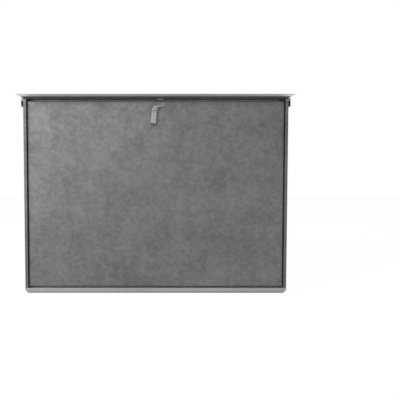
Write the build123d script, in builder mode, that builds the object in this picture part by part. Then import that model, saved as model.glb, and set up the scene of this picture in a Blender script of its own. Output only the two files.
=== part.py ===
# Crawlspace access door: a folded sheet steel door hung in a sheet steel frame,
# with a drip hood over its head and a turning latch at the top of the door.
# Millimetres, +Z up, +X to the right and -Y towards someone facing the door.
# The origin is the middle of the sill's underside.
from build123d import *
import math
import os

os.makedirs("parts", exist_ok=True)

# Sheet metal
sheet = 0.8  # thickness of every folded sheet
bend = 0.8  # inside radius of a fold
outer_bend = bend + sheet
relief = 0.3  # gap left between folds that meet at a corner
rest_gap = 0.3  # gap between pieces that close on each other

# Frame
frame_width = 813.0
frame_height = 603.0
frame_depth = 21.0
face_flange = 9.0  # width of a jamb's front flange
stop_flange = 20.0  # width of the jamb's back flange, which stops the door
sill_flange = 16.0  # height of the sill's front flange
sill_back = 22.0  # height of the sill's back flange
corner_clip = 9.0  # 45 degree clip at the frame's lower corners
tab_height = 36.0  # top of the sill's tabs inside the jambs
tab_setback = 2.5  # from the jamb's folds to the edges of those tabs

# Header, which caps the jambs, and its ears
header_flange = 9.0  # height of the front flange over each jamb
keeper_height = 5.6  # of the latch's keeper, from the header's top
end_flange = 9.5  # width of the front flange over each jamb
keeper_left = 4.0  # left edge of the keeper, from the middle of the door
keeper_width = 20.0
header_lip = 20.0  # height of the lip behind the jambs
header_overhang = 3.5  # gap from the jambs' back to that lip
ear_gap = 5.2  # gap from a jamb's side to the ear beside it
ear_height = 25.0
jamb_top_gap = 1.0

# Drip hood
hood_reach = 25.4  # from the header's face to the start of the lip
hood_lap = 22.0  # length of hood that lies on the header
lip_length = 12.0
lip_kick = 24.0  # degrees that the lip turns up
lip_flare = 11.5  # how far each end of the lip stands out past the hood

# Door panel
door_recess = 7.6  # from the frame's face to the door's face
door_side_gap = 1.6
door_bottom_gap = 3.4
door_top_gap = 8.0  # below the header's top
door_foot_fold = 8.0  # depth of the fold along the door's lower edge

# Hinge rod through the jambs and the door's side folds
rod_radius = 2.5
rod_setback = 12.0  # from the frame's face to the rod's axis
rod_height = 24.0
running_gap = 0.05  # radial clearance of turning fits
rod_head_radius = 3.8
rod_head_height = 0.8
spacer_radius = 4.0
spacer_end_gap = 0.4

# Latch
latch_x = -3.0  # pivot, from the middle of the door
latch_drop = 27.2  # from the door's top down to the pivot
latch_tilt = 6.0  # degrees that the handle hangs off plumb
latch_travel = 32.0  # degrees from released to latched
handle_width = 16.5
handle_drop = 44.5  # from the pivot to the handle's lower end
handle_face = 17.0  # from the door's face to the handle's face
handle_wall = 1.2
handle_step = 4.0  # how far the pivot seat lies below the handle's face
handle_corner = 5.0
seat_end = 5.5  # from the pivot down to the step in the handle's face
tongue_thickness = 2.0
tongue_standoff = 4.6  # from the door's face to the tongue
arm_low = 7.7  # tongue's arm, up from the pivot
arm_height = 5.5
arm_reach = 28.5  # tongue's tip, across from the pivot
tip_width = 5.0
tip_top = 21.4  # top of the tongue's tip, up from the pivot
neck_reach = 12.6

# Pivot stud and its washers
stud_radius = 3.0
stud_head_radius = 4.8
stud_head_height = 2.2
stud_head_edge = 0.9  # upright edge of the head
stud_crown_radius = 2.9  # flat on top of the head
stud_tail_radius = 2.45
stud_tail_hole = 2.6
stud_tail_length = 8.0
spring_washer_radius = 5.0
spring_washer_thickness = 0.5
spring_washer_rise = 0.5
spacer_bush_radius = 5.5
washer_radius = 6.0
washer_thickness = 1.0
nut_across_flats = 8.0
nut_height = 4.0

# Stop pin on the tongue, and the arc slot that it rides in
stop_radius = 9.5
stop_angle = 62.0  # degrees up from level at rest
stop_pin_radius = 1.4
stop_slot_width = 4.4
stop_pin_reach = 2.0  # past the door sheet's inner face

# Blind rivets
rivet_radius = 1.6
rivet_head_radius = 3.1
rivet_head_height = 1.2
rivet_crown_radius = 1.8  # flat on top of the head
rivet_tail_radius = 2.3
rivet_tail_height = 2.2
rivet_sides = 18
hood_rivet_count = 5
hood_rivet_inset = 30.0  # from the hood's ends to the end rivets
hood_rivet_setback = 10.0  # from the frame's face

# Levels that follow from those sizes
half_width = frame_width / 2
front = -frame_depth / 2
back = frame_depth / 2
header_top = frame_height - sheet
jamb_inside = half_width - sheet
jamb_top = header_top - sheet - jamb_top_gap
cap_half = half_width + ear_gap + sheet
lip_back = back + header_overhang + sheet
hood_front = front - sheet - hood_reach
hood_back = front - sheet + hood_lap
door_half = half_width - face_flange - door_side_gap
door_face = front + door_recess
door_inside = door_face + sheet
door_back = back - sheet - rest_gap
door_bottom = sill_flange + door_bottom_gap
door_top = header_top - door_top_gap
latch_z = door_top - latch_drop
rod_y = front + rod_setback
handle_front = door_face - handle_face
tongue_back = door_face - tongue_standoff
tongue_front = tongue_back - tongue_thickness
seat_front = handle_front + handle_step


def folded(plane, points):
    """Section of a folded sheet, its outer faces through the points and its folds rounded."""
    with BuildSketch(plane) as section:
        with BuildLine():
            FilletPolyline(*points, radius=outer_bend)
            offset(amount=sheet, side=Side.RIGHT)
        make_face()
    return section.sketch


def blind_rivet(plane, grip):
    """Blind rivet, its faces many-sided: head on the plane, shank and tail behind it."""
    head_taper = math.degrees(
        math.atan((rivet_head_radius - rivet_crown_radius) / rivet_head_height)
    )
    with BuildPart() as rivet:
        with BuildSketch(plane):
            RegularPolygon(rivet_head_radius, rivet_sides)
        extrude(amount=rivet_head_height, taper=head_taper)
        with BuildSketch(plane):
            RegularPolygon(rivet_radius, rivet_sides)
        extrude(amount=-grip)
        with BuildSketch(plane.offset(-grip)):
            RegularPolygon(rivet_tail_radius, rivet_sides)
        extrude(amount=-rivet_tail_height)
    return rivet.part


def handle_outline(plane, inset, top_cut):
    """Outline of the handle, drawn in by inset; a top_cut leaves only the grip below it."""
    half = handle_width / 2 - inset
    low = -handle_drop + inset
    with BuildSketch(plane) as outline:
        with BuildLine():
            Polyline((-half, -top_cut), (-half, low), (half, low), (half, -top_cut), close=True)
        make_face()
        fillet(outline.vertices().group_by(Axis.Y)[0], radius=handle_corner - inset)
        if top_cut == 0:
            Circle(half)
    return outline.sketch


# Where the rivets stand
hood_rivet_y = front + hood_rivet_setback
hood_rivet_span = frame_width - 2 * hood_rivet_inset
hood_rivet_pitch = hood_rivet_span / (hood_rivet_count - 1)
header_rivet_x = half_width - face_flange / 2
header_rivet_z = header_top - header_flange / 2 - sheet / 2

# Left jamb: front flange, side and stop flange folded from one strip
with BuildPart() as left_jamb:
    jamb_path = [
        (-half_width + face_flange, front),
        (-half_width, front),
        (-half_width, back),
        (-half_width + stop_flange, back),
    ]
    jamb_foot = corner_clip + relief
    extrude(folded(Plane.XY.offset(jamb_foot), jamb_path), amount=jamb_top - jamb_foot)
    # Both flanges stop short of the sill's
    with BuildSketch(Plane.XZ.offset(-back - relief)) as foot_notch:
        with BuildLine():
            Polyline(
                (-jamb_inside, 0),
                (-jamb_inside + stop_flange, 0),
                (-jamb_inside + stop_flange, sill_back + relief),
                (-jamb_inside, sill_back + relief),
                close=True,
            )
        make_face()
    extrude(amount=bend + sheet + relief, mode=Mode.SUBTRACT)
    with BuildSketch(Plane.XZ.offset(-front + relief)) as face_notch:
        with BuildLine():
            Polyline(
                (-jamb_inside, 0),
                (-jamb_inside + face_flange, 0),
                (-jamb_inside + face_flange, sill_flange + relief),
                (-jamb_inside, sill_flange + relief),
                close=True,
            )
        make_face()
    extrude(amount=-(outer_bend + relief), mode=Mode.SUBTRACT)
    # Hinge rod's hole in the side, header rivet's hole in the front flange
    with BuildSketch(Plane.YZ.offset(-half_width)) as rod_hole:
        with Locations((rod_y, rod_height)):
            Circle(rod_radius)
    extrude(amount=sheet, mode=Mode.SUBTRACT)
    with BuildSketch(Plane.XZ.offset(-front)) as rivet_hole:
        with Locations((-header_rivet_x, header_rivet_z)):
            Circle(rivet_radius)
    extrude(amount=-sheet, mode=Mode.SUBTRACT)
left_jamb.part.label = "left_jamb"

# Right jamb: the left one mirrored
with BuildPart() as right_jamb:
    add(mirror(left_jamb.part, about=Plane.YZ))
right_jamb.part.label = "right_jamb"

# Sill: a channel whose web turns up at 45 degrees at its ends, with tabs inside the jambs
with BuildPart() as sill:
    sill_path = [
        (-jamb_inside, corner_clip),
        (-jamb_inside + corner_clip, 0),
        (jamb_inside - corner_clip, 0),
        (jamb_inside, corner_clip),
    ]
    sill_section = [
        (front, sill_flange),
        (front, 0),
        (back, 0),
        (back, sill_back),
    ]
    with BuildSketch(Plane.YZ.offset(-jamb_inside)) as channel:
        with BuildLine():
            FilletPolyline(*sill_section, radius=outer_bend)
            offset(amount=sheet, side=Side.LEFT)
        make_face()
    extrude(amount=2 * jamb_inside)
    with BuildSketch(Plane.XZ.offset(-back)) as clipped_outline:
        with BuildLine():
            Polyline(
                *sill_path,
                (jamb_inside, sill_back),
                (-jamb_inside, sill_back),
                close=True,
            )
        make_face()
    extrude(amount=frame_depth, mode=Mode.INTERSECT)
    # The 45 degree ends of the web and the tabs above them
    with BuildSketch(Plane.XZ.offset(-back + tab_setback)) as end_folds:
        for side in (-1, 1):
            with BuildLine():
                Polyline(
                    (side * (jamb_inside - corner_clip), 0),
                    (side * jamb_inside, corner_clip),
                    (side * jamb_inside, tab_height),
                    (side * (jamb_inside - sheet), tab_height),
                    (side * (jamb_inside - sheet), corner_clip + sheet / 2),
                    (side * (jamb_inside - corner_clip - sheet / 2), sheet),
                    close=True,
                )
            make_face()
    extrude(amount=frame_depth - 2 * tab_setback)
    with BuildSketch(Plane.YZ.offset(-jamb_inside)) as rod_holes:
        with Locations((rod_y, rod_height)):
            Circle(rod_radius)
    extrude(amount=2 * jamb_inside, mode=Mode.SUBTRACT)
sill.part.label = "sill"

# Header: top and back lip folded from one strip, with an ear at each end. In front it
# has a flange over each jamb and, between them, the keeper that the latch's tongue turns up
# behind. The rest of the front is open above the door.
with BuildPart() as header:
    header_path = [
        (front - sheet, header_top - header_flange),
        (front - sheet, header_top),
        (lip_back, header_top),
        (lip_back, header_top - header_lip),
    ]
    extrude(
        folded(Plane.YZ.offset(-cap_half + outer_bend), header_path),
        amount=2 * (cap_half - outer_bend),
    )
    ear_path = [
        (-cap_half, header_top - ear_height),
        (-cap_half, header_top),
        (cap_half, header_top),
        (cap_half, header_top - ear_height),
    ]
    extrude(
        folded(Plane.XZ.offset(-lip_back + outer_bend), ear_path),
        amount=lip_back - front - outer_bend - relief,
    )
    keeper_right = keeper_left + keeper_width
    with BuildSketch(Plane.XZ.offset(-front + sheet + relief)) as front_openings:
        for start, end in (
            (-half_width + end_flange, keeper_left),
            (keeper_right, half_width - end_flange),
        ):
            with BuildLine():
                Polyline(
                    (start, header_top - header_flange - relief),
                    (end, header_top - header_flange - relief),
                    (end, header_top + relief),
                    (start, header_top + relief),
                    close=True,
                )
            make_face()
    extrude(amount=-(outer_bend + relief), mode=Mode.SUBTRACT)
    with BuildSketch(Plane.XZ.offset(-front + sheet + relief)) as keeper_foot:
        with BuildLine():
            Polyline(
                (keeper_left - relief, header_top - header_flange - relief),
                (keeper_right + relief, header_top - header_flange - relief),
                (keeper_right + relief, header_top - keeper_height),
                (keeper_left - relief, header_top - keeper_height),
                close=True,
            )
        make_face()
    extrude(amount=-(outer_bend + relief), mode=Mode.SUBTRACT)
    for side in (-1, 1):
        with BuildSketch(Plane.XZ.offset(-front + sheet)) as rivet_hole:
            with Locations((side * header_rivet_x, header_rivet_z)):
                Circle(rivet_radius)
        extrude(amount=-sheet, mode=Mode.SUBTRACT)
    for index in range(hood_rivet_count):
        with BuildSketch(Plane.XY.offset(header_top)) as rivet_hole:
            with Locations((index * hood_rivet_pitch - hood_rivet_span / 2, hood_rivet_y)):
                Circle(rivet_radius)
        extrude(amount=-sheet, mode=Mode.SUBTRACT)
header.part.label = "header"

# Drip hood: lies on the header, reaches forward and ends in a kicked-up lip with flared ends
with BuildPart() as drip_hood:
    lip_run = lip_length * math.cos(math.radians(lip_kick))
    lip_rise = lip_length * math.sin(math.radians(lip_kick))
    hood_path = [
        (hood_back, frame_height),
        (hood_front, frame_height),
        (hood_front - lip_run, frame_height + lip_rise),
    ]
    with BuildSketch(Plane.YZ.offset(-half_width - lip_flare)) as hood_section:
        with BuildLine():
            FilletPolyline(*hood_path, radius=outer_bend)
            offset(amount=sheet, side=Side.LEFT)
        make_face()
    extrude(amount=frame_width + 2 * lip_flare)
    with BuildSketch(Plane.XY.offset(header_top - sheet)) as hood_plan:
        with BuildLine():
            Polyline(
                (-half_width, hood_back),
                (half_width, hood_back),
                (half_width, hood_front),
                (half_width + lip_flare, hood_front - lip_run),
                (half_width + lip_flare, hood_front - lip_run - sheet),
                (-half_width - lip_flare, hood_front - lip_run - sheet),
                (-half_width - lip_flare, hood_front - lip_run),
                (-half_width, hood_front),
                close=True,
            )
        make_face()
    extrude(amount=2 * sheet + lip_rise + sheet, mode=Mode.INTERSECT)
    for index in range(hood_rivet_count):
        with BuildSketch(Plane.XY.offset(frame_height)) as rivet_hole:
            with Locations((index * hood_rivet_pitch - hood_rivet_span / 2, hood_rivet_y)):
                Circle(rivet_radius)
        extrude(amount=-sheet, mode=Mode.SUBTRACT)
drip_hood.part.label = "drip_hood"

# Rivets from the hood into the header
with BuildPart() as hood_rivets:
    for index in range(hood_rivet_count):
        rivet_x = index * hood_rivet_pitch - hood_rivet_span / 2
        add(blind_rivet(Plane((rivet_x, hood_rivet_y, frame_height)), 2 * sheet))
hood_rivets.part.label = "hood_rivets"

# Rivets from the header's end flanges into the jambs
with BuildPart() as header_rivets:
    for side in (-1, 1):
        rivet_plane = Plane(
            origin=(side * header_rivet_x, front - sheet, header_rivet_z),
            x_dir=(1, 0, 0),
            z_dir=(0, -1, 0),
        )
        add(blind_rivet(rivet_plane, 2 * sheet))
header_rivets.part.label = "header_rivets"

# Hinge rod: across the whole frame, its ends peened over outside the jambs
with BuildPart() as hinge_rod:
    rod_end = half_width + rod_head_height
    with BuildSketch(Plane.XZ.offset(-rod_y)) as rod_half:
        with BuildLine():
            Polyline(
                (-rod_end, rod_height),
                (rod_end, rod_height),
                (rod_end, rod_height + rod_head_radius - rod_head_height),
                (half_width + rod_head_height / 2, rod_height + rod_head_radius),
                (half_width, rod_height + rod_head_radius),
                (half_width, rod_height + rod_radius),
                (-half_width, rod_height + rod_radius),
                (-half_width, rod_height + rod_head_radius),
                (-half_width - rod_head_height / 2, rod_height + rod_head_radius),
                (-rod_end, rod_height + rod_head_radius - rod_head_height),
                close=True,
            )
        make_face()
    revolve(axis=Axis((0, rod_y, rod_height), (1, 0, 0)))
hinge_rod.part.label = "hinge_rod"

# Spacer tubes that keep the door in the middle of the frame
spacer_start = door_half + spacer_end_gap
spacer_end = jamb_inside - sheet
with BuildPart() as rod_spacers:
    for side in (-1, 1):
        with BuildSketch(Plane.YZ.offset(side * spacer_start)) as tube:
            with Locations((rod_y, rod_height)):
                Circle(spacer_radius)
                Circle(rod_radius, mode=Mode.SUBTRACT)
        extrude(amount=side * (spacer_end - spacer_start))
rod_spacers.part.label = "rod_spacers"

# Door panel: a shallow pan, folded back along all four edges
with BuildPart() as door_panel:
    side_path = [
        (-door_half, door_back),
        (-door_half, door_face),
        (door_half, door_face),
        (door_half, door_back),
    ]
    with BuildSketch(Plane.XY.offset(door_bottom + outer_bend)) as across:
        with BuildLine():
            FilletPolyline(*side_path, radius=outer_bend)
            offset(amount=sheet, side=Side.LEFT)
        make_face()
    extrude(amount=door_top - door_bottom - 2 * outer_bend)
    upright_path = [
        (door_face + door_foot_fold, door_bottom),
        (door_face, door_bottom),
        (door_face, door_top),
        (door_back, door_top),
    ]
    extrude(
        folded(Plane.YZ.offset(-door_half + outer_bend), upright_path),
        amount=2 * (door_half - outer_bend),
    )
    # Lower back corners of the side folds, clipped so that they swing clear of the stop flange
    with BuildSketch(Plane.YZ.offset(-door_half)) as heel_clip:
        with BuildLine():
            Polyline(
                (door_back + relief, rod_height),
                (door_face + door_foot_fold, door_bottom),
                (door_face + door_foot_fold, door_bottom - relief),
                (door_back + relief, door_bottom - relief),
                close=True,
            )
        make_face()
    extrude(amount=2 * door_half, mode=Mode.SUBTRACT)
    with BuildSketch(Plane.YZ.offset(-door_half)) as pivot_holes:
        with Locations((rod_y, rod_height)):
            Circle(rod_radius + running_gap)
    extrude(amount=2 * door_half, mode=Mode.SUBTRACT)
    # Hole for the latch's stud and the arc slot for its stop pin
    stop_arc = CenterArc(
        (latch_x, latch_z), stop_radius, stop_angle, latch_travel, mode=Mode.PRIVATE
    )
    with BuildSketch(Plane.XZ.offset(-door_face)) as latch_holes:
        with Locations((latch_x, latch_z)):
            Circle(stud_tail_hole)
        slot_face = SlotArc(stop_arc, stop_slot_width, mode=Mode.PRIVATE)
        add(slot_face)
    extrude(amount=-sheet, mode=Mode.SUBTRACT)
door_panel.part.label = "door_panel"

# Planes of the latch: level for the tongue, tilted for the handle
level_plane = Plane(
    origin=(latch_x, tongue_front, latch_z), x_dir=(1, 0, 0), z_dir=(0, -1, 0)
)
tilt = math.radians(latch_tilt)
handle_plane = Plane(
    origin=(latch_x, tongue_front, latch_z),
    x_dir=(math.cos(tilt), 0, -math.sin(tilt)),
    z_dir=(0, -1, 0),
)

# Latch tongue: a flat lever behind the handle, with an arm and an upturned tip
with BuildPart() as latch_tongue:
    stop_x = stop_radius * math.cos(math.radians(stop_angle))
    stop_z = stop_radius * math.sin(math.radians(stop_angle))
    with BuildSketch(handle_plane) as lever:
        Circle(handle_width / 2)
        with BuildLine():
            Polyline(
                (-handle_width / 2, 0),
                (-handle_width / 2, -handle_drop + 2 * handle_corner),
                (handle_width / 2, -handle_drop + 2 * handle_corner),
                (handle_width / 2, 0),
                close=True,
            )
        make_face()
    extrude(amount=-tongue_thickness)
    with BuildSketch(level_plane) as arm:
        with BuildLine():
            Polyline(
                (0, 0),
                (handle_width / 2, 0),
                (neck_reach, arm_low),
                (arm_reach, arm_low),
                (arm_reach, tip_top),
                (arm_reach - tip_width, tip_top),
                (arm_reach - tip_width, arm_low + arm_height),
                (stop_x + stop_pin_radius, arm_low + arm_height),
                (stop_x - stop_pin_radius - handle_wall, arm_low),
                close=True,
            )
        make_face()
    extrude(amount=-tongue_thickness)
    with BuildSketch(level_plane) as tongue_holes:
        Circle(stud_radius + running_gap)
        with Locations((stop_x, stop_z)):
            Circle(stop_pin_radius)
    extrude(amount=-tongue_thickness, mode=Mode.SUBTRACT)
latch_tongue.part.label = "latch_tongue"

# Latch handle: a pressed cup with a lower seat round the pivot
with BuildPart() as latch_handle:
    handle_depth = tongue_front - handle_front
    seat_depth = tongue_front - seat_front
    extrude(handle_outline(handle_plane, 0, seat_end), amount=handle_depth)
    fillet(latch_handle.faces().sort_by(Axis.Y)[0].edges(), radius=outer_bend)
    extrude(handle_outline(handle_plane, 0, 0), amount=seat_depth)
    extrude(
        handle_outline(handle_plane, handle_wall, 0),
        amount=seat_depth - handle_wall,
        mode=Mode.SUBTRACT,
    )
    extrude(
        handle_outline(handle_plane, handle_wall, seat_end + handle_wall),
        amount=handle_depth - handle_wall,
        mode=Mode.SUBTRACT,
    )
    with BuildSketch(handle_plane) as pivot_hole:
        Circle(stud_radius + running_gap)
    extrude(amount=seat_depth, mode=Mode.SUBTRACT)
latch_handle.part.label = "latch_handle"

# Stop pin: headed in front of the tongue, riding in the door's arc slot
with BuildPart() as stop_pin:
    with BuildSketch(level_plane) as pin_outline:
        with Locations((stop_x, stop_z)):
            Circle(stop_pin_radius)
    extrude(amount=-(door_inside + stop_pin_reach - tongue_front))
stop_pin.part.label = "stop_pin"

# Pivot stud: chamfered head, shoulder that the latch turns on, and a tail through the door
with BuildPart() as latch_stud:
    washer_front = seat_front - spring_washer_thickness - spring_washer_rise
    head_back = washer_front - rest_gap / 3
    with BuildSketch(Plane.XY.offset(latch_z)) as stud_half:
        with BuildLine():
            Polyline(
                (latch_x, head_back - stud_head_height),
                (latch_x, door_inside + stud_tail_length),
                (latch_x + stud_tail_radius, door_inside + stud_tail_length),
                (latch_x + stud_tail_radius, door_face),
                (latch_x + stud_radius, door_face),
                (latch_x + stud_radius, head_back),
                (latch_x + stud_head_radius, head_back),
                (latch_x + stud_head_radius, head_back - stud_head_edge),
                (latch_x + stud_crown_radius, head_back - stud_head_height),
                close=True,
            )
        make_face()
    revolve(axis=Axis((latch_x, 0, latch_z), (0, 1, 0)))
latch_stud.part.label = "latch_stud"

# Spring washer: a dished ring under the stud's head
with BuildPart() as latch_spring_washer:
    ring_inside = latch_x + stud_radius + running_gap
    ring_outside = latch_x + spring_washer_radius
    with BuildSketch(Plane.XY.offset(latch_z)) as dish_half:
        with BuildLine():
            Polyline(
                (ring_inside, washer_front),
                (ring_outside, washer_front + spring_washer_rise - rest_gap / 3),
                (ring_outside, seat_front - rest_gap / 3),
                (ring_inside, washer_front + spring_washer_thickness),
                close=True,
            )
        make_face()
    revolve(axis=Axis((latch_x, 0, latch_z), (0, 1, 0)))
latch_spring_washer.part.label = "latch_spring_washer"

# Spacer bush between the tongue and the door
with BuildPart() as latch_bush:
    with BuildSketch(Plane.XZ.offset(-door_face)) as bush_ring:
        with Locations((latch_x, latch_z)):
            Circle(spacer_bush_radius)
            Circle(stud_radius, mode=Mode.SUBTRACT)
    extrude(amount=tongue_standoff - rest_gap)
latch_bush.part.label = "latch_bush"

# Washer and nut behind the door
with BuildPart() as latch_back_washer:
    with BuildSketch(Plane.XZ.offset(-door_inside)) as washer_ring:
        with Locations((latch_x, latch_z)):
            Circle(washer_radius)
            Circle(stud_tail_radius, mode=Mode.SUBTRACT)
    extrude(amount=-washer_thickness)
latch_back_washer.part.label = "latch_back_washer"

with BuildPart() as latch_nut:
    with BuildSketch(Plane.XZ.offset(-door_inside - washer_thickness)) as nut_outline:
        with Locations((latch_x, latch_z)):
            RegularPolygon(radius=nut_across_flats / 2, side_count=6, major_radius=False)
            Circle(stud_tail_radius, mode=Mode.SUBTRACT)
    extrude(amount=-nut_height)
latch_nut.part.label = "latch_nut"

export_step(left_jamb.part, "parts/left_jamb.step")
export_step(right_jamb.part, "parts/right_jamb.step")
export_step(sill.part, "parts/sill.step")
export_step(header.part, "parts/header.step")
export_step(drip_hood.part, "parts/drip_hood.step")
export_step(hood_rivets.part, "parts/hood_rivets.step")
export_step(header_rivets.part, "parts/header_rivets.step")
export_step(hinge_rod.part, "parts/hinge_rod.step")
export_step(rod_spacers.part, "parts/rod_spacers.step")
export_step(door_panel.part, "parts/door_panel.step")
export_step(latch_tongue.part, "parts/latch_tongue.step")
export_step(latch_handle.part, "parts/latch_handle.step")
export_step(stop_pin.part, "parts/stop_pin.step")
export_step(latch_stud.part, "parts/latch_stud.step")
export_step(latch_spring_washer.part, "parts/latch_spring_washer.step")
export_step(latch_bush.part, "parts/latch_bush.step")
export_step(latch_back_washer.part, "parts/latch_back_washer.step")
export_step(latch_nut.part, "parts/latch_nut.step")
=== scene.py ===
"""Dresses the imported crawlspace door: sheet finishes, small fastener detail, camera and studio."""

import logging
import math
from dataclasses import dataclass, field
from enum import Enum

import bmesh
import bpy
from mathutils import Matrix, Vector


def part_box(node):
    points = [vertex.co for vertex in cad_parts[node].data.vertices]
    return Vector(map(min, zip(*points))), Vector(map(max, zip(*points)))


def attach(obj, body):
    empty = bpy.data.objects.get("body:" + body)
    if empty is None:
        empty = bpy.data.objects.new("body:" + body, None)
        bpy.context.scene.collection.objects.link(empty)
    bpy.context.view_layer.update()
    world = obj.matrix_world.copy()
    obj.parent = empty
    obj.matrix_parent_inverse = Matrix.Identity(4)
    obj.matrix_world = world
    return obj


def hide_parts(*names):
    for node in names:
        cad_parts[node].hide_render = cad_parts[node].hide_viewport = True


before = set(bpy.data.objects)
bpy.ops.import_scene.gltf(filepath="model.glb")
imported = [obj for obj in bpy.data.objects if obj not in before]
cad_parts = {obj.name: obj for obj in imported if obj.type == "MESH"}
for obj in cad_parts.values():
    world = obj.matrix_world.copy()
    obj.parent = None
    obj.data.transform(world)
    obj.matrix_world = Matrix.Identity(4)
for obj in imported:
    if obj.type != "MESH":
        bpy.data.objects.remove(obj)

logging.basicConfig(level=logging.INFO, format="%(name)s: %(message)s")
log = logging.getLogger("crawlspace_door")

MM = 0.001


class Body(Enum):
    """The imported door's bodies that carry added pieces."""

    FRAME = "frame"
    DOOR = "door"


class Slot(Enum):
    """The record's material slots."""

    FRAME_SHEET = "galvanised_sheet"
    DOOR_SHEET = "galvanised_door_sheet"
    LATCH_PLATING = "zinc_plated_steel"
    SPRING = "spring_steel"
    RIVET = "rivet_aluminium"
    HARDWARE = "plated_rod_steel"


class OwnFinish(Enum):
    """Pieces whose finish differs from the rest of their material slot."""

    HEADER = "header"
    HOOD = "hood"
    SILL = "sill"
    TONGUE = "tongue"


def linear(hex_colour: str) -> tuple[float, float, float, float]:
    """Turns an sRGB hex colour into linear values.

    Args:
        hex_colour: a colour such as "#8a8c8d".

    Returns:
        Red, green, blue and an alpha of 1, linear.
    """
    digits = hex_colour.lstrip("#")
    channels = [int(digits[i : i + 2], 16) / 255 for i in (0, 2, 4)]
    values = [c / 12.92 if c <= 0.04045 else ((c + 0.055) / 1.055) ** 2.4 for c in channels]
    return values[0], values[1], values[2], 1.0


def per_metre(size_mm: float) -> float:
    """Texture scale that gives a pattern of this real size in millimetres."""
    return 1.0 / (size_mm * MM)


def add_node(
    tree: bpy.types.NodeTree,
    kind: str,
    settings: dict | None = None,
    links: dict | None = None,
) -> bpy.types.Node:
    """Adds a node with its settings and links.

    Args:
        tree: the node tree it goes into.
        kind: the node's type name.
        settings: attribute, input name or input number to value.
        links: input name or number to the output socket that feeds it.

    Returns:
        The new node.
    """
    node = tree.nodes.new(kind)
    for name, value in (settings or {}).items():
        if isinstance(name, str) and hasattr(node, name):
            setattr(node, name, value)
        else:
            node.inputs[name].default_value = value
    for name, socket in (links or {}).items():
        tree.links.new(socket, node.inputs[name])
    return node


def new_material(name: str) -> tuple[bpy.types.Material, bpy.types.NodeTree]:
    """Makes an empty node material.

    Args:
        name: the finish's plain name.

    Returns:
        The material and its cleared node tree.
    """
    material = bpy.data.materials.new(name)
    material.use_nodes = True
    material.node_tree.nodes.clear()
    return material, material.node_tree


def finish_surface(tree: bpy.types.NodeTree, shader: bpy.types.Node) -> None:
    """Joins a shader to the material's output."""
    add_node(tree, "ShaderNodeOutputMaterial", links={"Surface": shader.outputs[0]})


def dress(node_name: str, material: bpy.types.Material) -> None:
    """Puts a material in every slot of a CAD node.

    Args:
        node_name: the CAD node's name.
        material: its finish.
    """
    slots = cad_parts[node_name].material_slots
    if not slots:
        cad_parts[node_name].data.materials.append(material)
    for entry in slots:
        entry.material = material


def mesh_object(name: str, mesh: bmesh.types.BMesh, smooth: bool = True) -> bpy.types.Object:
    """Turns a finished bmesh into an object in the scene.

    Args:
        name: the piece's name.
        mesh: the bmesh, in metres and in the row's frame. It is freed.
        smooth: whether faces shade smoothly.

    Returns:
        The new object.
    """
    bmesh.ops.recalc_face_normals(mesh, faces=mesh.faces)
    data = bpy.data.meshes.new(name)
    mesh.to_mesh(data)
    mesh.free()
    data.polygons.foreach_set("use_smooth", [smooth] * len(data.polygons))
    piece = bpy.data.objects.new(name, data)
    bpy.context.scene.collection.objects.link(piece)
    return piece


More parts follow.
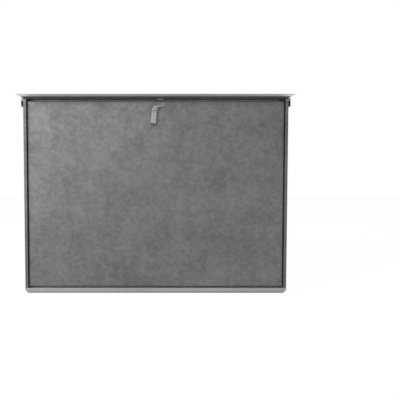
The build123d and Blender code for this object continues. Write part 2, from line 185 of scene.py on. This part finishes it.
@dataclass(frozen=True)
class GalvanisedSheet:
    """Hot-dip galvanised steel sheet, cold rolled and zinc coated before it was folded.

    It gives the eye a dull mid grey with a soft sheen, a faint patchwork of zinc crystals,
    cloudy oxidised patches, faint run marks down the sheet, brighter zinc where folds were
    rubbed, and painted light that pales its crevices.
    """

    name: str
    light: str
    dark: str
    crystal_mm: float = 9.0
    cloud_mm: float = 110.0
    grain_mm: float = 2.0  # real grain is under 1 mm, drawn coarser so that it shows
    run_mm: float = 16.0
    run_stretch: float = 0.12  # runs are drawn out down the sheet by one over this
    crystal_share: float = 0.15
    cloud_share: float = 0.48
    grain_share: float = 0.24
    run_share: float = 0.13
    highlight_front_mm: float | None = None  # painted highlight: zinc in front of this is painted pale, on a face that lies in shade
    shaded_foot_mm: float | None = None  # painted shade: zinc below this is painted darker
    border_mm: float = 1.5  # over which such a zone fades in
    painted_highlight_zinc: str = "#ececec"
    painted_shade_zinc: str = "#8e8e8e"
    rubbed_zinc: str = "#8c8c8c"
    # painted light: a paler zinc mixed into crevices lifts their shade
    crevice_light_zinc: str = "#a8a8a8"
    fold_mm: float = 1.4  # how near a fold the zinc is rubbed
    crevice_mm: float = 14.0  # how near another sheet light is painted into a crevice
    ripple_mm: float = 6.0
    ripple_height_mm: float = 0.12
    roughness: float = 0.5
    sheen_spread: float = 0.08
    metallic: float = 0.8

    def tone(self, tree: bpy.types.NodeTree, place: bpy.types.NodeSocket) -> bpy.types.NodeSocket:
        """Lightness of the zinc from 0 to 1.

        Args:
            tree: the material's nodes.
            place: the texture coordinate, in metres.

        Returns:
            A socket with crystals, clouds, grain and run marks summed.
        """
        crystals = add_node(
            tree,
            "ShaderNodeTexVoronoi",
            {"Scale": per_metre(self.crystal_mm), "Randomness": 1.0},
            {"Vector": place},
        )
        crystal = add_node(
            tree, "ShaderNodeSeparateColor", links={"Color": crystals.outputs["Color"]}
        )
        clouds = add_node(
            tree,
            "ShaderNodeTexNoise",
            {"Scale": per_metre(self.cloud_mm), "Detail": 5.0, "Roughness": 0.6},
            {"Vector": place},
        )
        grain = add_node(
            tree,
            "ShaderNodeTexNoise",
            {"Scale": per_metre(self.grain_mm), "Detail": 3.0, "Roughness": 0.7},
            {"Vector": place},
        )
        squeezed = add_node(
            tree, "ShaderNodeMapping", {"Scale": (1.0, 1.0, self.run_stretch)}, {"Vector": place}
        )
        runs = add_node(
            tree,
            "ShaderNodeTexNoise",
            {"Scale": per_metre(self.run_mm), "Detail": 3.0},
            {"Vector": squeezed.outputs[0]},
        )
        total = None
        for share, socket in (
            (self.crystal_share, crystal.outputs[0]),
            (self.cloud_share, clouds.outputs[0]),
            (self.grain_share, grain.outputs[0]),
            (self.run_share, runs.outputs[0]),
        ):
            part = add_node(
                tree, "ShaderNodeMath", {"operation": "MULTIPLY", 1: share}, {0: socket}
            )
            if total is None:
                total = part
            else:
                total = add_node(
                    tree,
                    "ShaderNodeMath",
                    {"operation": "ADD"},
                    {0: total.outputs[0], 1: part.outputs[0]},
                )
        spread = add_node(
            tree,
            "ShaderNodeMapRange",
            {"From Min": 0.36, "From Max": 0.64},
            {"Value": total.outputs[0]},
        )
        return spread.outputs[0]

    def paint_front_highlight(
        self, tree: bpy.types.NodeTree, place: bpy.types.NodeSocket, zinc: bpy.types.Node
    ) -> bpy.types.Node:
        """Paints a highlight on the zinc in front of a plane, as on the hood's shaded lip.

        Args:
            tree: the material's nodes.
            place: the texture coordinate, in metres.
            zinc: the mix node that gives the colour so far.

        Returns:
            The mix node that gives the colour with its painted highlight.
        """
        parts = add_node(tree, "ShaderNodeSeparateXYZ", links={"Vector": place})
        plane = self.highlight_front_mm * MM
        share = add_node(
            tree,
            "ShaderNodeMapRange",
            {"From Min": -plane, "From Max": -plane - self.border_mm * MM},
            {"Value": parts.outputs["Y"]},
        )
        return add_node(
            tree,
            "ShaderNodeMix",
            {"data_type": "RGBA", 7: linear(self.painted_highlight_zinc)},
            {0: share.outputs[0], 6: zinc.outputs[2]},
        )

    def paint_foot_shade(
        self, tree: bpy.types.NodeTree, place: bpy.types.NodeSocket, zinc: bpy.types.Node
    ) -> bpy.types.Node:
        """Paints shade on the zinc below a height, darkening the sill's foot.

        Args:
            tree: the material's nodes.
            place: the texture coordinate, in metres.
            zinc: the mix node that gives the colour so far.

        Returns:
            The mix node that gives the colour with its painted shade.
        """
        parts = add_node(tree, "ShaderNodeSeparateXYZ", links={"Vector": place})
        height = self.shaded_foot_mm * MM
        border = self.border_mm * MM
        share = add_node(
            tree,
            "ShaderNodeMapRange",
            {"From Min": height + border, "From Max": height - border},
            {"Value": parts.outputs["Z"]},
        )
        return add_node(
            tree,
            "ShaderNodeMix",
            {"data_type": "RGBA", 7: linear(self.painted_shade_zinc)},
            {0: share.outputs[0], 6: zinc.outputs[2]},
        )

    def rub_folds(self, tree: bpy.types.NodeTree, zinc: bpy.types.Node) -> bpy.types.Node:
        """Rubs folds and cut edges, as handling does.

        Args:
            tree: the material's nodes.
            zinc: the mix node that gives the colour so far.

        Returns:
            The mix node that gives the colour with its rubbed folds.
        """
        rounded = add_node(
            tree, "ShaderNodeBevel", {"samples": 6, "Radius": self.fold_mm * MM}
        )
        flat = add_node(tree, "ShaderNodeNewGeometry")
        facing = add_node(
            tree,
            "ShaderNodeVectorMath",
            {"operation": "DOT_PRODUCT"},
            {0: rounded.outputs[0], 1: flat.outputs["Normal"]},
        )
        rubbed = add_node(
            tree,
            "ShaderNodeMapRange",
            {"From Min": 0.995, "From Max": 0.86, "To Max": 0.45},
            {"Value": facing.outputs["Value"]},
        )
        return add_node(
            tree,
            "ShaderNodeMix",
            {"data_type": "RGBA", 7: linear(self.rubbed_zinc)},
            {0: rubbed.outputs[0], 6: zinc.outputs[2]},
        )

    def paint_crevice_light(self, tree: bpy.types.NodeTree, zinc: bpy.types.Node) -> bpy.types.Node:
        """Paints light where sheets meet: a paler zinc that lifts the shade of crevices.

        Args:
            tree: the material's nodes.
            zinc: the mix node that gives the colour so far.

        Returns:
            The mix node that gives the colour with its painted light.
        """
        # painted light: the more a spot is occluded, the more paler zinc it gets
        shelter = add_node(
            tree,
            "ShaderNodeAmbientOcclusion",
            {"samples": 6, "Distance": self.crevice_mm * MM},
        )
        occlusion_paint_share = add_node(
            tree,
            "ShaderNodeMapRange",
            {"From Min": 0.05, "From Max": 0.6, "To Min": 0.2, "To Max": 0.0},
            {"Value": shelter.outputs["AO"]},
        )
        return add_node(
            tree,
            "ShaderNodeMix",
            {"data_type": "RGBA", 7: linear(self.crevice_light_zinc)},
            {0: occlusion_paint_share.outputs[0], 6: zinc.outputs[2]},
        )

    def build(self) -> bpy.types.Material:
        """Makes the material.

        Returns:
            The finished node material.
        """
        material, tree = new_material(self.name)
        place = add_node(tree, "ShaderNodeTexCoord").outputs["Object"]
        tone = self.tone(tree, place)
        zinc = add_node(
            tree,
            "ShaderNodeMix",
            {"data_type": "RGBA", 6: linear(self.dark), 7: linear(self.light)},
            {0: tone},
        )
        # painted highlight: a pale zinc on the hood's lip, whose face lies in shade
        if self.highlight_front_mm is not None:
            zinc = self.paint_front_highlight(tree, place, zinc)
        # painted shade: a darker zinc along the sill's foot
        if self.shaded_foot_mm is not None:
            zinc = self.paint_foot_shade(tree, place, zinc)
        colour = self.paint_crevice_light(tree, self.rub_folds(tree, zinc))
        sheen = add_node(
            tree,
            "ShaderNodeMapRange",
            {
                "To Min": self.roughness + self.sheen_spread,
                "To Max": self.roughness - self.sheen_spread,
            },
            {"Value": tone},
        )
        ripple = add_node(
            tree,
            "ShaderNodeTexNoise",
            {"Scale": per_metre(self.ripple_mm), "Detail": 3.0},
            {"Vector": place},
        )
        bump = add_node(
            tree,
            "ShaderNodeBump",
            {"Strength": 0.3, "Distance": self.ripple_height_mm * MM},
            {"Height": ripple.outputs[0]},
        )
        shader = add_node(
            tree,
            "ShaderNodeBsdfPrincipled",
            {"Metallic": self.metallic},
            {
                "Base Color": colour.outputs[2],
                "Roughness": sheen.outputs[0],
                "Normal": bump.outputs[0],
            },
        )
        finish_surface(tree, shader)
        return material


@dataclass(frozen=True)
class PlatedSteel:
    """Bright zinc plating on pressed or turned steel.

    It gives the eye a pale grey with a tighter gloss than the sheets, fine rubbing marks
    along the piece and painted shade darkening its inside corners.
    """

    name: str
    light: str
    dark: str
    mark_mm: float = 0.9
    roughness: float = 0.34
    metallic: float = 1.0
    mark_stretch: float = 0.2  # marks are drawn out along the piece by one over this
    mark_height_mm: float = 0.04
    corner_shade_mm: float = 5.0  # how near an inside corner shade is painted
    painted_corner_shade: str = "#262728"

    def build(self) -> bpy.types.Material:
        """Makes the material.

        Returns:
            The finished node material.
        """
        material, tree = new_material(self.name)
        place = add_node(tree, "ShaderNodeTexCoord").outputs["Object"]
        stretched = add_node(
            tree, "ShaderNodeMapping", {"Scale": (1.0, 1.0, self.mark_stretch)}, {"Vector": place}
        )
        marks = add_node(
            tree,
            "ShaderNodeTexNoise",
            {"Scale": per_metre(self.mark_mm), "Detail": 4.0, "Roughness": 0.65},
            {"Vector": stretched.outputs[0]},
        )
        blotches = add_node(
            tree,
            "ShaderNodeTexNoise",
            {"Scale": per_metre(self.mark_mm * 7), "Detail": 3.0},
            {"Vector": place},
        )
        both = add_node(
            tree,
            "ShaderNodeMix",
            {0: 0.5},
            {2: marks.outputs[0], 3: blotches.outputs[0]},
        )
        tone = add_node(
            tree,
            "ShaderNodeMapRange",
            {"From Min": 0.35, "From Max": 0.65},
            {"Value": both.outputs[0]},
        )
        plating = add_node(
            tree,
            "ShaderNodeMix",
            {"data_type": "RGBA", 6: linear(self.dark), 7: linear(self.light)},
            {0: tone.outputs[0]},
        )
        # painted shade: the more a spot is occluded, the more of the dark corner colour it gets
        shelter = add_node(
            tree,
            "ShaderNodeAmbientOcclusion",
            {"samples": 6, "Distance": self.corner_shade_mm * MM},
        )
        occlusion_paint_share = add_node(
            tree,
            "ShaderNodeMapRange",
            {"From Min": 0.2, "From Max": 0.85, "To Min": 0.75, "To Max": 0.0},
            {"Value": shelter.outputs["AO"]},
        )
        colour = add_node(
            tree,
            "ShaderNodeMix",
            {"data_type": "RGBA", 7: linear(self.painted_corner_shade)},
            {0: occlusion_paint_share.outputs[0], 6: plating.outputs[2]},
        )
        sheen = add_node(
            tree,
            "ShaderNodeMapRange",
            {"To Min": self.roughness + 0.1, "To Max": self.roughness - 0.06},
            {"Value": tone.outputs[0]},
        )
        bump = add_node(
            tree,
            "ShaderNodeBump",
            {"Strength": 0.2, "Distance": self.mark_height_mm * MM},
            {"Height": marks.outputs[0]},
        )
        shader = add_node(
            tree,
            "ShaderNodeBsdfPrincipled",
            {"Metallic": self.metallic},
            {
                "Base Color": colour.outputs[2],
                "Roughness": sheen.outputs[0],
                "Normal": bump.outputs[0],
            },
        )
        finish_surface(tree, shader)
        return material


@dataclass
class Finishes:
    """Every finish on the door, made once and shared."""

    made: dict[Slot | OwnFinish, bpy.types.Material] = field(default_factory=dict)

    def build(self) -> None:
        """Makes each finish."""
        kinds = {
            # Galvanised frame: dull grey zinc, a little brighter where light rakes its folds
            Slot.FRAME_SHEET: GalvanisedSheet("galvanised_frame_sheet", "#6e6e6e", "#606060"),
            # Galvanised header: lighter zinc, painted light that lifts the shade cast by the hood
            OwnFinish.HEADER: GalvanisedSheet("galvanised_header_sheet", "#929292", "#808080"),
            # Galvanised hood: the frame's zinc, with a painted highlight that makes its shaded lip
            # pale
            OwnFinish.HOOD: GalvanisedSheet(
                "galvanised_hood_sheet", "#8a8a8a", "#7a7a7a", highlight_front_mm=36.5
            ),
            # Galvanised sill: lighter zinc than the jambs, with painted shade darkening its foot
            OwnFinish.SILL: GalvanisedSheet(
                "galvanised_sill_sheet", "#a6a6a6", "#9a9a9a", shaded_foot_mm=6.5
            ),
            # Galvanised door: the same zinc on a wide flat face, so its clouding shows more
            Slot.DOOR_SHEET: GalvanisedSheet("galvanised_door_sheet", "#787878", "#646464"),
            # Zinc plated pressing: pale and glossier than the sheets behind it
            Slot.LATCH_PLATING: PlatedSteel("zinc_plated_pressing", "#929292", "#747474"),
            # Zinc plated tongue: the same plating, darker than on the handle
            OwnFinish.TONGUE: PlatedSteel("zinc_plated_tongue", "#7e7e7e", "#626262"),
            # Oiled spring steel: dark, with a low shine
            Slot.SPRING: PlatedSteel("oiled_spring_steel", "#5c5c5c", "#3c3c3c", 0.6, 0.4),
            # Weathered aluminium rivet: soft grey and matt
            Slot.RIVET: PlatedSteel("weathered_rivet_aluminium", "#808080", "#686868", 0.7, 0.42),
            # Plated rod, stud and nut: light grey with turning marks
            Slot.HARDWARE: PlatedSteel("zinc_plated_turned_steel", "#9a9a9a", "#787878", 0.7),
        }
        for slot, finish in kinds.items():
            self.made[slot] = finish.build()
            log.info("finish %s", self.made[slot].name)


@dataclass
class SheetFrame:
    """The folded frame, its hood, hinge rod and rivets."""

    finishes: Finishes
    hood_rivets: int = 5
    rivet_head_mm: float = 3.1  # radii of a rivet's head, its dimple and its mandrel
    dimple_mm: float = 1.15
    mandrel_mm: float = 0.75
    steps_round: int = 20

    def dress(self) -> None:
        """Gives every CAD node of the frame its finish."""
        for name in ("left_jamb", "right_jamb"):
            dress(name, self.finishes.made[Slot.FRAME_SHEET])
        dress("header", self.finishes.made[OwnFinish.HEADER])
        dress("drip_hood", self.finishes.made[OwnFinish.HOOD])
        dress("sill", self.finishes.made[OwnFinish.SILL])
        for name in ("hood_rivets", "header_rivets"):
            dress(name, self.finishes.made[Slot.RIVET])
        for name in ("hinge_rod", "rod_spacers"):
            dress(name, self.finishes.made[Slot.HARDWARE])
        log.info("frame dressed")

    def rivet_places(self) -> list[tuple[Vector, Vector]]:
        """Where the rivet heads stand, read from the CAD nodes.

        Returns:
            For each rivet, the middle of its head's flat and the way it faces.
        """
        radius = self.rivet_head_mm * MM
        low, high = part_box("hood_rivets")
        centre_y = (high.y + low.y) / 2
        span = (high.x - low.x) - 2 * radius
        places = []
        for index in range(self.hood_rivets):
            x = low.x + radius + span * index / (self.hood_rivets - 1)
            places.append((Vector((x, centre_y, high.z)), Vector((0, 0, 1))))
        low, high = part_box("header_rivets")
        middle_z = (low.z + high.z) / 2
        for x in (low.x + radius, high.x - radius):
            places.append((Vector((x, low.y, middle_z)), Vector((0, -1, 0))))
        return places

    def build_mandrels(self) -> None:
        """Adds the snapped mandrel and the rolled rim round it to each blind rivet."""
        mesh = bmesh.new()
        # Rolled rim, dimple and snapped end, a little below the head's flat to close on it
        profile = (
            (self.dimple_mm + 0.35, -0.02),
            (self.dimple_mm + 0.15, 0.10),
            (self.dimple_mm - 0.05, 0.06),
            (self.mandrel_mm + 0.1, -0.02),
            (self.mandrel_mm, 0.0),
            (self.mandrel_mm * 0.8, 0.08),
            (0.0, 0.10),
        )
        for centre, facing in self.rivet_places():
            turn = Vector((0, 0, 1)).rotation_difference(facing).to_matrix().to_4x4()
            place = Matrix.Translation(centre) @ turn
            add_turned(mesh, place, profile, self.steps_round)
        piece = mesh_object("rivet_mandrels", mesh)
        piece.data.materials.append(self.finishes.made[Slot.RIVET])
        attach(piece, Body.FRAME.value)
        log.info("piece %s", piece.name)

    def build(self) -> None:
        """Dresses the frame and adds its small parts."""
        self.dress()
        self.build_mandrels()


def add_turned(
    mesh: bmesh.types.BMesh,
    place: Matrix,
    profile: tuple[tuple[float, float], ...],
    segments: int,
) -> None:
    """Adds a turned surface to a bmesh.

    Args:
        mesh: where the faces go.
        place: matrix from the profile's axes to the row's frame.
        profile: radius and height in millimetres, from the outside to the axis.
        segments: steps round the axis.
    """
    rings = []
    for radius, height in profile:
        if radius == 0:
            rings.append([mesh.verts.new(place @ Vector((0, 0, height * MM)))])
            continue
        ring = []
        for step in range(segments):
            angle = 2 * math.pi * step / segments
            point = (radius * MM * math.cos(angle), radius * MM * math.sin(angle), height * MM)
            ring.append(mesh.verts.new(place @ Vector(point)))
        rings.append(ring)
    for outer, inner in zip(rings, rings[1:]):
        for step in range(segments):
            after = (step + 1) % segments
            if len(inner) == 1:
                mesh.faces.new((outer[step], outer[after], inner[0]))
            else:
                mesh.faces.new((outer[step], outer[after], inner[after], inner[step]))


@dataclass
class PanDoor:
    """The folded door panel and the fixings of its latch pivot."""

    finishes: Finishes
    thread_pitch_mm: float = 0.8
    thread_root_mm: float = 2.42
    thread_crest_mm: float = 2.62
    thread_flank_mm: float = 0.36  # from a crest along to the root beside it
    thread_steps: int = 24
    flats_mm: float = 8.0
    bore_mm: float = 2.5
    countersink_mm: float = 0.4
    turned_share: float = 0.96  # of the half width, up to where the corners are turned
    turned_slope: float = 0.58
    nut_steps: int = 48

    def dress(self) -> None:
        """Gives every CAD node of the door its finish."""
        dress("door_panel", self.finishes.made[Slot.DOOR_SHEET])
        dress("latch_spring_washer", self.finishes.made[Slot.SPRING])
        for name in ("latch_stud", "latch_bush", "latch_back_washer", "latch_nut"):
            dress(name, self.finishes.made[Slot.HARDWARE])
        log.info("door dressed")

    def pivot(self) -> tuple[float, float]:
        """Across and up position of the latch's pivot, in metres."""
        low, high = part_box("latch_back_washer")
        return (low.x + high.x) / 2, (low.z + high.z) / 2

    def build_thread(self) -> None:
        """Adds the thread on the stud's tail past its nut."""
        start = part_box("latch_nut")[1].y / MM - 0.4
        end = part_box("latch_stud")[1].y / MM - 0.35
        turns = (end - start) / self.thread_pitch_mm
        steps = int(turns * self.thread_steps)
        across, up = self.pivot()
        mesh = bmesh.new()
        before: list[bmesh.types.BMVert] = []
        for step in range(steps + 1):
            angle = 2 * math.pi * step / self.thread_steps
            along = start + (end - start) * step / steps
            ring = []
            for radius, offset in (
                (self.thread_root_mm, -self.thread_flank_mm),
                (self.thread_crest_mm, 0.0),
                (self.thread_root_mm, self.thread_flank_mm),
            ):
                x = across + radius * MM * math.cos(angle)
                z = up + radius * MM * math.sin(angle)
                ring.append(mesh.verts.new((x, (along + offset) * MM, z)))
            if before:
                mesh.faces.new((before[0], before[1], ring[1], ring[0]))
                mesh.faces.new((before[1], before[2], ring[2], ring[1]))
            before = ring
        piece = mesh_object("stud_thread", mesh)
        piece.data.materials.append(self.finishes.made[Slot.HARDWARE])
        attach(piece, Body.DOOR.value)
        log.info("piece %s", piece.name)

    def nut_section(self, corner: float, height: float) -> tuple[tuple[float, float], ...]:
        """Section of the nut at one angle round it, in millimetres.

        Args:
            corner: the hexagon's radius at that angle.
            height: the nut's height.

        Returns:
            Radius and height of each point, from the bore round the outside and back to it.
        """
        turned = self.flats_mm / 2 * self.turned_share
        drop = (corner - turned) * self.turned_slope
        return (
            (self.bore_mm, 0.0),
            (turned, 0.0),
            (corner, drop),
            (corner, height - drop),
            (turned, height),
            (self.bore_mm + self.countersink_mm, height),
            (self.bore_mm, height - self.countersink_mm),
        )

    def build_nut(self) -> None:
        """Replaces the plain nut by one with turned corners and a countersunk bore."""
        low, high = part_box("latch_nut")
        across, up = self.pivot()
        height = (high.y - low.y) / MM
        sixth = math.pi / 3
        mesh = bmesh.new()
        columns: list[list[bmesh.types.BMVert]] = []
        for step in range(self.nut_steps):
            angle = 2 * math.pi * step / self.nut_steps
            corner = self.flats_mm / 2 / math.cos(angle % sixth - sixth / 2)
            column = []
            for radius, level in self.nut_section(corner, height):
                x = across + radius * MM * math.cos(angle + sixth / 2)
                z = up + radius * MM * math.sin(angle + sixth / 2)
                column.append(mesh.verts.new((x, low.y + level * MM, z)))
            columns.append(column)
        for first, second in zip(columns, columns[1:] + columns[:1]):
            for point in range(len(first)):
                before = point - 1
                mesh.faces.new((first[before], second[before], second[point], first[point]))
        piece = mesh_object("stud_nut", mesh, smooth=False)
        piece.data.materials.append(self.finishes.made[Slot.HARDWARE])
        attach(piece, Body.DOOR.value)
        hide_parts("latch_nut")
        log.info("piece %s", piece.name)

    def build(self) -> None:
        """Dresses the door and adds its small parts."""
        self.dress()
        self.build_thread()
        self.build_nut()


@dataclass
class TurnLatch:
    """The pressed handle, the tongue behind it and the stop pin."""

    finishes: Finishes

    def build(self) -> None:
        """Gives every CAD node of the latch its finish."""
        dress("latch_handle", self.finishes.made[Slot.LATCH_PLATING])
        dress("latch_tongue", self.finishes.made[OwnFinish.TONGUE])
        dress("stop_pin", self.finishes.made[Slot.HARDWARE])
        log.info("latch dressed")


@dataclass(frozen=True)
class SoftBox:
    """A rectangular lamp: where it stands and faces, and its size, in metres, and watts."""

    name: str
    place: tuple[float, float, float]
    aim: tuple[float, float, float]
    width: float
    height: float
    watts: float

    def build(self) -> None:
        """Adds the lamp to the scene."""
        data = bpy.data.lights.new(self.name, "AREA")
        data.shape = "RECTANGLE"
        data.size = self.width
        data.size_y = self.height
        data.energy = self.watts
        lamp = bpy.data.objects.new(self.name, data)
        facing = Vector(self.aim) - Vector(self.place)
        turn = facing.to_track_quat("-Z", "Y").to_matrix().to_4x4()
        lamp.matrix_world = Matrix.Translation(self.place) @ turn
        bpy.context.scene.collection.objects.link(lamp)


@dataclass
class Studio:
    """Camera, lamps, pale floor and white surroundings."""

    sensor_mm: float = 36.0
    focal_px: float = 434.2
    image_px: float = 400.0
    axis_x_px: float = 155.0
    camera_mm: tuple[float, float, float] = (-0.7, -1350.2, 347.7)
    pitch: float = 0.0429
    yaw: float = -0.0012
    surround: float = 0.34  # of the white world's light that falls on the door
    floor_reach: float = 9.0
    floor_drop_mm: float = 0.6
    floor_paint: str = "#dcdcdc"
    floor_glow: float = 1.1
    floor_glow_share: float = 0.86  # the rest keeps the door's shadow
    # Broad key, side and small upper lamps at the left, weak fill, a strip near the floor
    # under the hood, and one behind for the back
    lamps: tuple[SoftBox, ...] = (
        SoftBox("key", (-1.6, -1.9, 0.9), (-0.1, 0.0, 0.4), 1.4, 1.4, 14.2),
        SoftBox("side", (-1.3, -1.1, 0.8), (-0.2, 0.0, 0.4), 0.5, 1.0, 7.0),
        SoftBox("top", (-0.25, -1.7, 1.1), (0.0, 0.0, 0.4), 0.4, 0.3, 3.2),
        SoftBox("fill", (1.8, -2.0, 0.5), (0.0, 0.0, 0.3), 1.2, 1.6, 0.8),
        SoftBox("low", (-0.2, -1.0, 0.02), (0.0, 0.0, 0.4), 1.6, 0.03, 0.3),
        SoftBox("back", (0.6, 2.2, 1.6), (0.0, 0.0, 0.3), 2.0, 1.4, 12.0),
    )

    def build_camera(self) -> None:
        """Places the camera where the photograph's front view was taken from."""
        data = bpy.data.cameras.new("camera")
        data.sensor_width = self.sensor_mm
        data.lens = self.focal_px / self.image_px * self.sensor_mm
        data.shift_x = (self.image_px / 2 - self.axis_x_px) / self.image_px
        data.clip_start = 0.01
        camera = bpy.data.objects.new("camera", data)
        place = Matrix.Translation(Vector(self.camera_mm) * MM)
        turn = Matrix.Rotation(-self.yaw, 4, "Z")
        tilt = Matrix.Rotation(math.pi / 2 - self.pitch, 4, "X")
        camera.matrix_world = place @ turn @ tilt
        bpy.context.scene.collection.objects.link(camera)
        bpy.context.scene.camera = camera

    def shown(self, tree: bpy.types.NodeTree) -> bpy.types.NodeSocket:
        """Whether a ray shows the background: to the camera, in metal or through glass.

        Args:
            tree: the world's or the floor's nodes.

        Returns:
            A socket that is 1 for such a ray and 0 for the others.
        """
        path = add_node(tree, "ShaderNodeLightPath")
        seen = path.outputs["Is Camera Ray"]
        for ray in ("Is Glossy Ray", "Is Transmission Ray"):
            both = add_node(
                tree, "ShaderNodeMath", {"operation": "MAXIMUM"}, {0: seen, 1: path.outputs[ray]}
            )
            seen = both.outputs[0]
        return seen

    def build_world(self) -> None:
        """Makes surroundings that show white and light the door softly."""
        world = bpy.data.worlds.new("surround")
        world.use_nodes = True
        tree = world.node_tree
        tree.nodes.clear()
        strength = add_node(
            tree,
            "ShaderNodeMapRange",
            {"To Min": self.surround, "To Max": 1.0},
            {"Value": self.shown(tree)},
        )
        shine = add_node(
            tree,
            "ShaderNodeBackground",
            {"Color": (1.0, 1.0, 1.0, 1.0)},
            {"Strength": strength.outputs[0]},
        )
        add_node(tree, "ShaderNodeOutputWorld", links={"Surface": shine.outputs[0]})
        bpy.context.scene.world = world

    def build_floor(self) -> None:
        """Adds the pale floor, white to the camera and keeping the door's soft shadow."""
        mesh = bmesh.new()
        far = self.floor_reach
        level = -self.floor_drop_mm * MM
        corners = ((-far, -far), (far, -far), (far, far), (-far, far))
        mesh.faces.new([mesh.verts.new((x, y, level)) for x, y in corners])
        floor = mesh_object("floor", mesh, smooth=False)
        material, tree = new_material("pale_studio_floor")
        paint = add_node(
            tree,
            "ShaderNodeBsdfDiffuse",
            {"Color": linear(self.floor_paint), "Roughness": 0.5},
        )
        glow = add_node(
            tree,
            "ShaderNodeEmission",
            {"Color": (1.0, 1.0, 1.0, 1.0), "Strength": self.floor_glow},
        )
        share = add_node(
            tree,
            "ShaderNodeMath",
            {"operation": "MULTIPLY", 1: self.floor_glow_share},
            {0: self.shown(tree)},
        )
        mixed = add_node(
            tree,
            "ShaderNodeMixShader",
            {},
            {0: share.outputs[0], 1: paint.outputs[0], 2: glow.outputs[0]},
        )
        finish_surface(tree, mixed)
        floor.data.materials.append(material)

    def build(self) -> None:
        """Builds the whole studio."""
        self.build_camera()
        for lamp in self.lamps:
            lamp.build()
        self.build_world()
        self.build_floor()
        bpy.context.scene.view_settings.view_transform = "Standard"
        log.info("studio ready")


def main() -> None:
    """Builds the dressed door in order."""
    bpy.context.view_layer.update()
    finishes = Finishes()
    finishes.build()
    for assembly in (SheetFrame(finishes), PanDoor(finishes), TurnLatch(finishes), Studio()):
        assembly.build()
        log.info("%s done", type(assembly).__name__)


if __name__ == "__main__":
    main()
